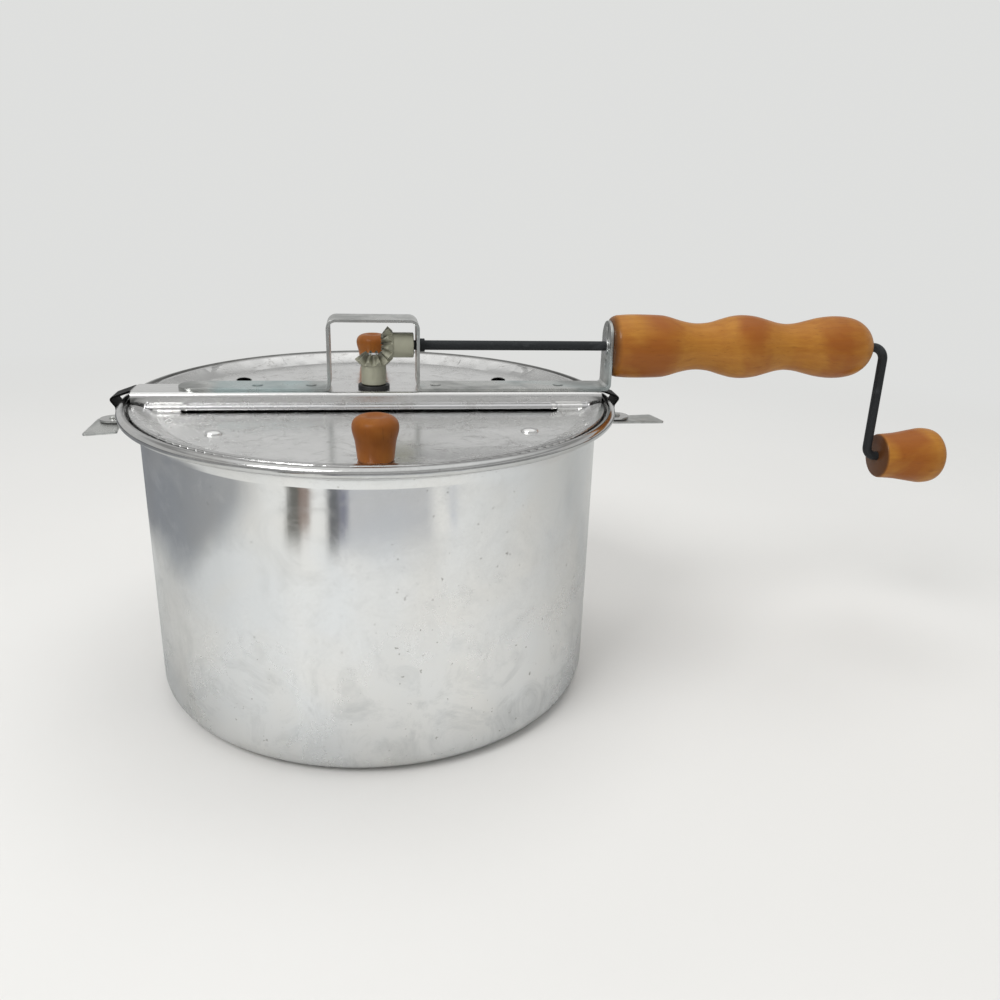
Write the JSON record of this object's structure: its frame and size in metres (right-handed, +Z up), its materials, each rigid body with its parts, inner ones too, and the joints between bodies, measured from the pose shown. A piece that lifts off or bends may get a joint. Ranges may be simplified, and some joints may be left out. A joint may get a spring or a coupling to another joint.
{
  "type": "stovetop popcorn popper",
  "caption": "Spun pan with a hinged two-flap lid; a hand crank beside the long wooden grip turns a wire stirrer through mitre gears.",
  "frame": {"origin": "centre of the pan's flat base", "axes": "+Z up, +X along the grip and crank rod, -Y is the front flap's side"},
  "size_m": [0.4604, 0.247, 0.1918],
  "materials": {
    "spun_aluminium": "hazy polish",
    "lid_aluminium": "satin, water marked",
    "folded_aluminium": "bright rolled sheet",
    "zinc_steel": "zinc plated",
    "bright_steel": "bright drawn",
    "black_steel": "black satin",
    "cream_nylon": "moulded nylon",
    "black_nylon": "moulded nylon",
    "wood": "stained, satin varnish"
  },
  "bodies": {
    "pan": {"pan": "spun_aluminium"},
    "lid": {"lid_bar": "folded_aluminium", "front_hinge_rod": "bright_steel", "rear_hinge_rod": "bright_steel", "handle_bracket": "zinc_steel", "bracket_rivets": "bright_steel", "shaft_bushing": "black_nylon", "rod_eyelet": "bright_steel", "main_grip": "wood", "grip_screws": "bright_steel", "clip_rivets": "bright_steel"},
    "front_flap": {"front_flap": "lid_aluminium", "front_knob": "wood", "front_knob_screw": "bright_steel", "front_knob_washer": "bright_steel"},
    "rear_flap": {"rear_flap": "lid_aluminium", "rear_knob": "wood", "rear_knob_screw": "bright_steel", "rear_knob_washer": "bright_steel"},
    "crank": {"crank_rod": "black_steel", "rod_collar": "black_steel", "drive_gear": "cream_nylon", "drive_gear_pin": "bright_steel", "knob_retainer": "bright_steel"},
    "crank_knob": {"crank_knob": "wood"},
    "stirrer": {"stir_shaft": "bright_steel", "driven_gear": "cream_nylon", "driven_gear_pin": "bright_steel", "shaft_washer": "bright_steel", "shaft_snap_ring": "bright_steel", "stir_hub": "bright_steel", "stir_wire": "bright_steel"},
    "left_clip": {"left_clip": "zinc_steel"},
    "right_clip": {"right_clip": "zinc_steel"}
  },
  "joints": [
    {"name": "lid_lift", "type": "slide", "parent": "pan", "child": "lid", "axis": [0, 0, 1], "range_m": [0, 0.16]},
    {"name": "crank_turn", "type": "hinge", "parent": "lid", "child": "crank", "pos_m": [0, 0, 0.1752], "axis": [1, 0, 0], "continuous": true},
    {"name": "crank_knob_spin", "type": "hinge", "parent": "crank", "child": "crank_knob", "pos_m": [0.3, 0, 0.1132], "axis": [1, 0, 0], "continuous": true},
    {"name": "stir_turn", "type": "hinge", "parent": "lid", "child": "stirrer", "pos_m": [0, 0, 0.15], "axis": [0, 0, 1], "continuous": true},
    {"name": "front_flap_hinge", "type": "hinge", "parent": "lid", "child": "front_flap", "pos_m": [0, -0.0132, 0.1462], "axis": [-1, 0, 0], "range_deg": [0, 80]},
    {"name": "rear_flap_hinge", "type": "hinge", "parent": "lid", "child": "rear_flap", "pos_m": [0, 0.0132, 0.1462], "axis": [1, 0, 0], "range_deg": [0, 80]},
    {"name": "left_clip_swing", "type": "hinge", "parent": "lid", "child": "left_clip", "pos_m": [-0.129, 0, 0.136], "axis": [0, 0, 1], "range_deg": [-90, 18]},
    {"name": "right_clip_swing", "type": "hinge", "parent": "lid", "child": "right_clip", "pos_m": [0.129, 0, 0.136], "axis": [0, 0, 1], "range_deg": [-20, 108]}
  ],
  "couplings": [
    {"joint": "stir_turn", "follows": "crank_turn", "ratio": 1}
  ]
}
